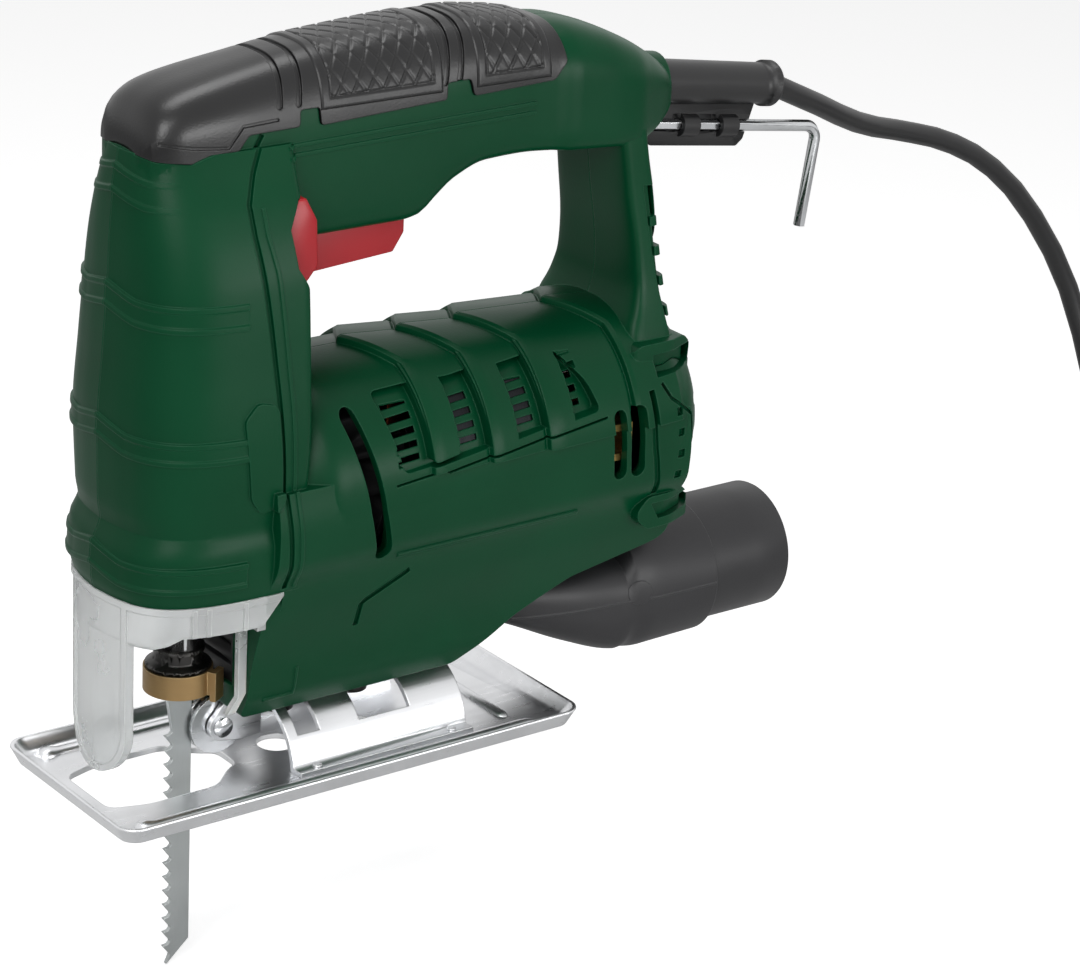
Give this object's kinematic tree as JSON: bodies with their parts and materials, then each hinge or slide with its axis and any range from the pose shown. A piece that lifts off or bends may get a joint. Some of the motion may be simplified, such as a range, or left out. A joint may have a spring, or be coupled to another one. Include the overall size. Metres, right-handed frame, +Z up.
{
  "type": "jigsaw",
  "caption": "Corded power jigsaw: closed handle over a motor barrel, reciprocating blade in a quick clamp, tilting steel shoe, clear guard and dust outlet.",
  "frame": {"origin": "centre of the underside of the shoe's pressed plate", "axes": "+Z up out of the shoe towards the handle, -X towards the blade, +X towards the dust outlet and cord, +Y to the tool's right side"},
  "size_m": [0.4536, 0.1087, 0.2449],
  "materials": {
    "green_shell": "satin moulded nylon",
    "soft_grip": "soft overmould",
    "red_plastic": "moulded",
    "black_plastic": "moulded",
    "grey_plastic": "satin moulded",
    "steel": "machined",
    "bright_steel": "bright",
    "dark_steel": "blackened",
    "pressed_steel": "bright pressed sheet",
    "iron": "laminated",
    "copper": "wound wire",
    "brass": "sintered",
    "bronze_ring": "bronze paint",
    "cast_alloy": "die cast",
    "clear_plastic": "clear",
    "cord_rubber": "matt"
  },
  "bodies": {
    "housing": {"left_shell": "green_shell", "right_shell": "green_shell", "handle_grip": "soft_grip", "housing_screws": "steel", "switch_unit": "black_plastic", "cord_clamp": "black_plastic", "cord_sleeve": "soft_grip", "key_clip": "soft_grip", "motor_stator": "iron", "field_coils": "copper", "brush_holders": "brass", "carbon_brushes": "black_plastic", "front_bearing": "steel", "rear_bearing": "steel", "gear_shaft": "steel", "gear_frame": "cast_alloy", "upper_bush": "brass", "lower_bush": "brass", "roller_arm": "steel", "roller_pin": "steel", "chip_deflector": "black_plastic", "saddle_screws": "dark_steel", "nut_plate": "steel", "blade_guard": "clear_plastic", "cord": "cord_rubber", "cord_coil": "cord_rubber", "mains_plug": "cord_rubber"},
    "trigger": {"trigger": "red_plastic"},
    "lock_button": {"lock_button": "red_plastic"},
    "hex_key": {"hex_key": "bright_steel"},
    "armature": {"motor_shaft": "steel", "armature_core": "iron", "commutator": "copper", "cooling_fan": "black_plastic"},
    "crank": {"drive_gear": "steel", "crank_pin": "steel"},
    "plunger": {"plunger": "steel", "cross_yoke": "steel", "clamp_body": "dark_steel", "clamp_spring": "steel", "saw_blade": "bright_steel"},
    "clamp_ring": {"clamp_ring": "bronze_ring"},
    "guide_roller": {"guide_roller": "steel"},
    "sole": {"sole_plate": "pressed_steel", "sole_saddle": "pressed_steel", "saddle_rivets": "pressed_steel"},
    "dust_adaptor": {"dust_adaptor": "grey_plastic"}
  },
  "joints": [
    {"name": "motor_spin", "type": "hinge", "parent": "housing", "child": "armature", "pos_m": [0, 0, 0.0776], "axis": [1, 0, 0], "continuous": true},
    {"name": "crank_spin", "type": "hinge", "parent": "housing", "child": "crank", "pos_m": [0, 0, 0.1], "axis": [1, 0, 0], "continuous": true},
    {"name": "plunger_stroke", "type": "slide", "parent": "housing", "child": "plunger", "axis": [0, 0, 1], "range_m": [-0.003, 0.015]},
    {"name": "clamp_ring_turn", "type": "hinge", "parent": "plunger", "child": "clamp_ring", "pos_m": [-0.037, 0, 0.0275], "axis": [0, 0, -1], "range_deg": [0, 60], "stiffness_Nm_per_rad": 0.02, "springref_deg": -28.65},
    {"name": "roller_spin", "type": "hinge", "parent": "housing", "child": "guide_roller", "pos_m": [-0.0263, 0, 0.0124], "axis": [0, 1, 0], "continuous": true},
    {"name": "sole_tilt", "type": "hinge", "parent": "housing", "child": "sole", "pos_m": [0, 0, 0], "axis": [1, 0, 0], "range_deg": [-45, 45]},
    {"name": "trigger_press", "type": "slide", "parent": "housing", "child": "trigger", "axis": [0, 0, 1], "range_m": [0, 0.0045], "stiffness_N_per_m": 900, "springref_m": -0.004},
    {"name": "lock_button_press", "type": "slide", "parent": "housing", "child": "lock_button", "axis": [0, 1, 0], "range_m": [0, 0.003], "stiffness_N_per_m": 700, "springref_m": -0.003},
    {"name": "key_slide", "type": "slide", "parent": "housing", "child": "hex_key", "axis": [0.9907, 0, -0.1357], "range_m": [0, 0.034]},
    {"name": "adaptor_pull", "type": "slide", "parent": "housing", "child": "dust_adaptor", "axis": [1, 0, 0], "range_m": [0, 0.025]}
  ],
  "couplings": [
    {"joint": "crank_spin", "follows": "motor_spin", "ratio": -0.14286}
  ]
}
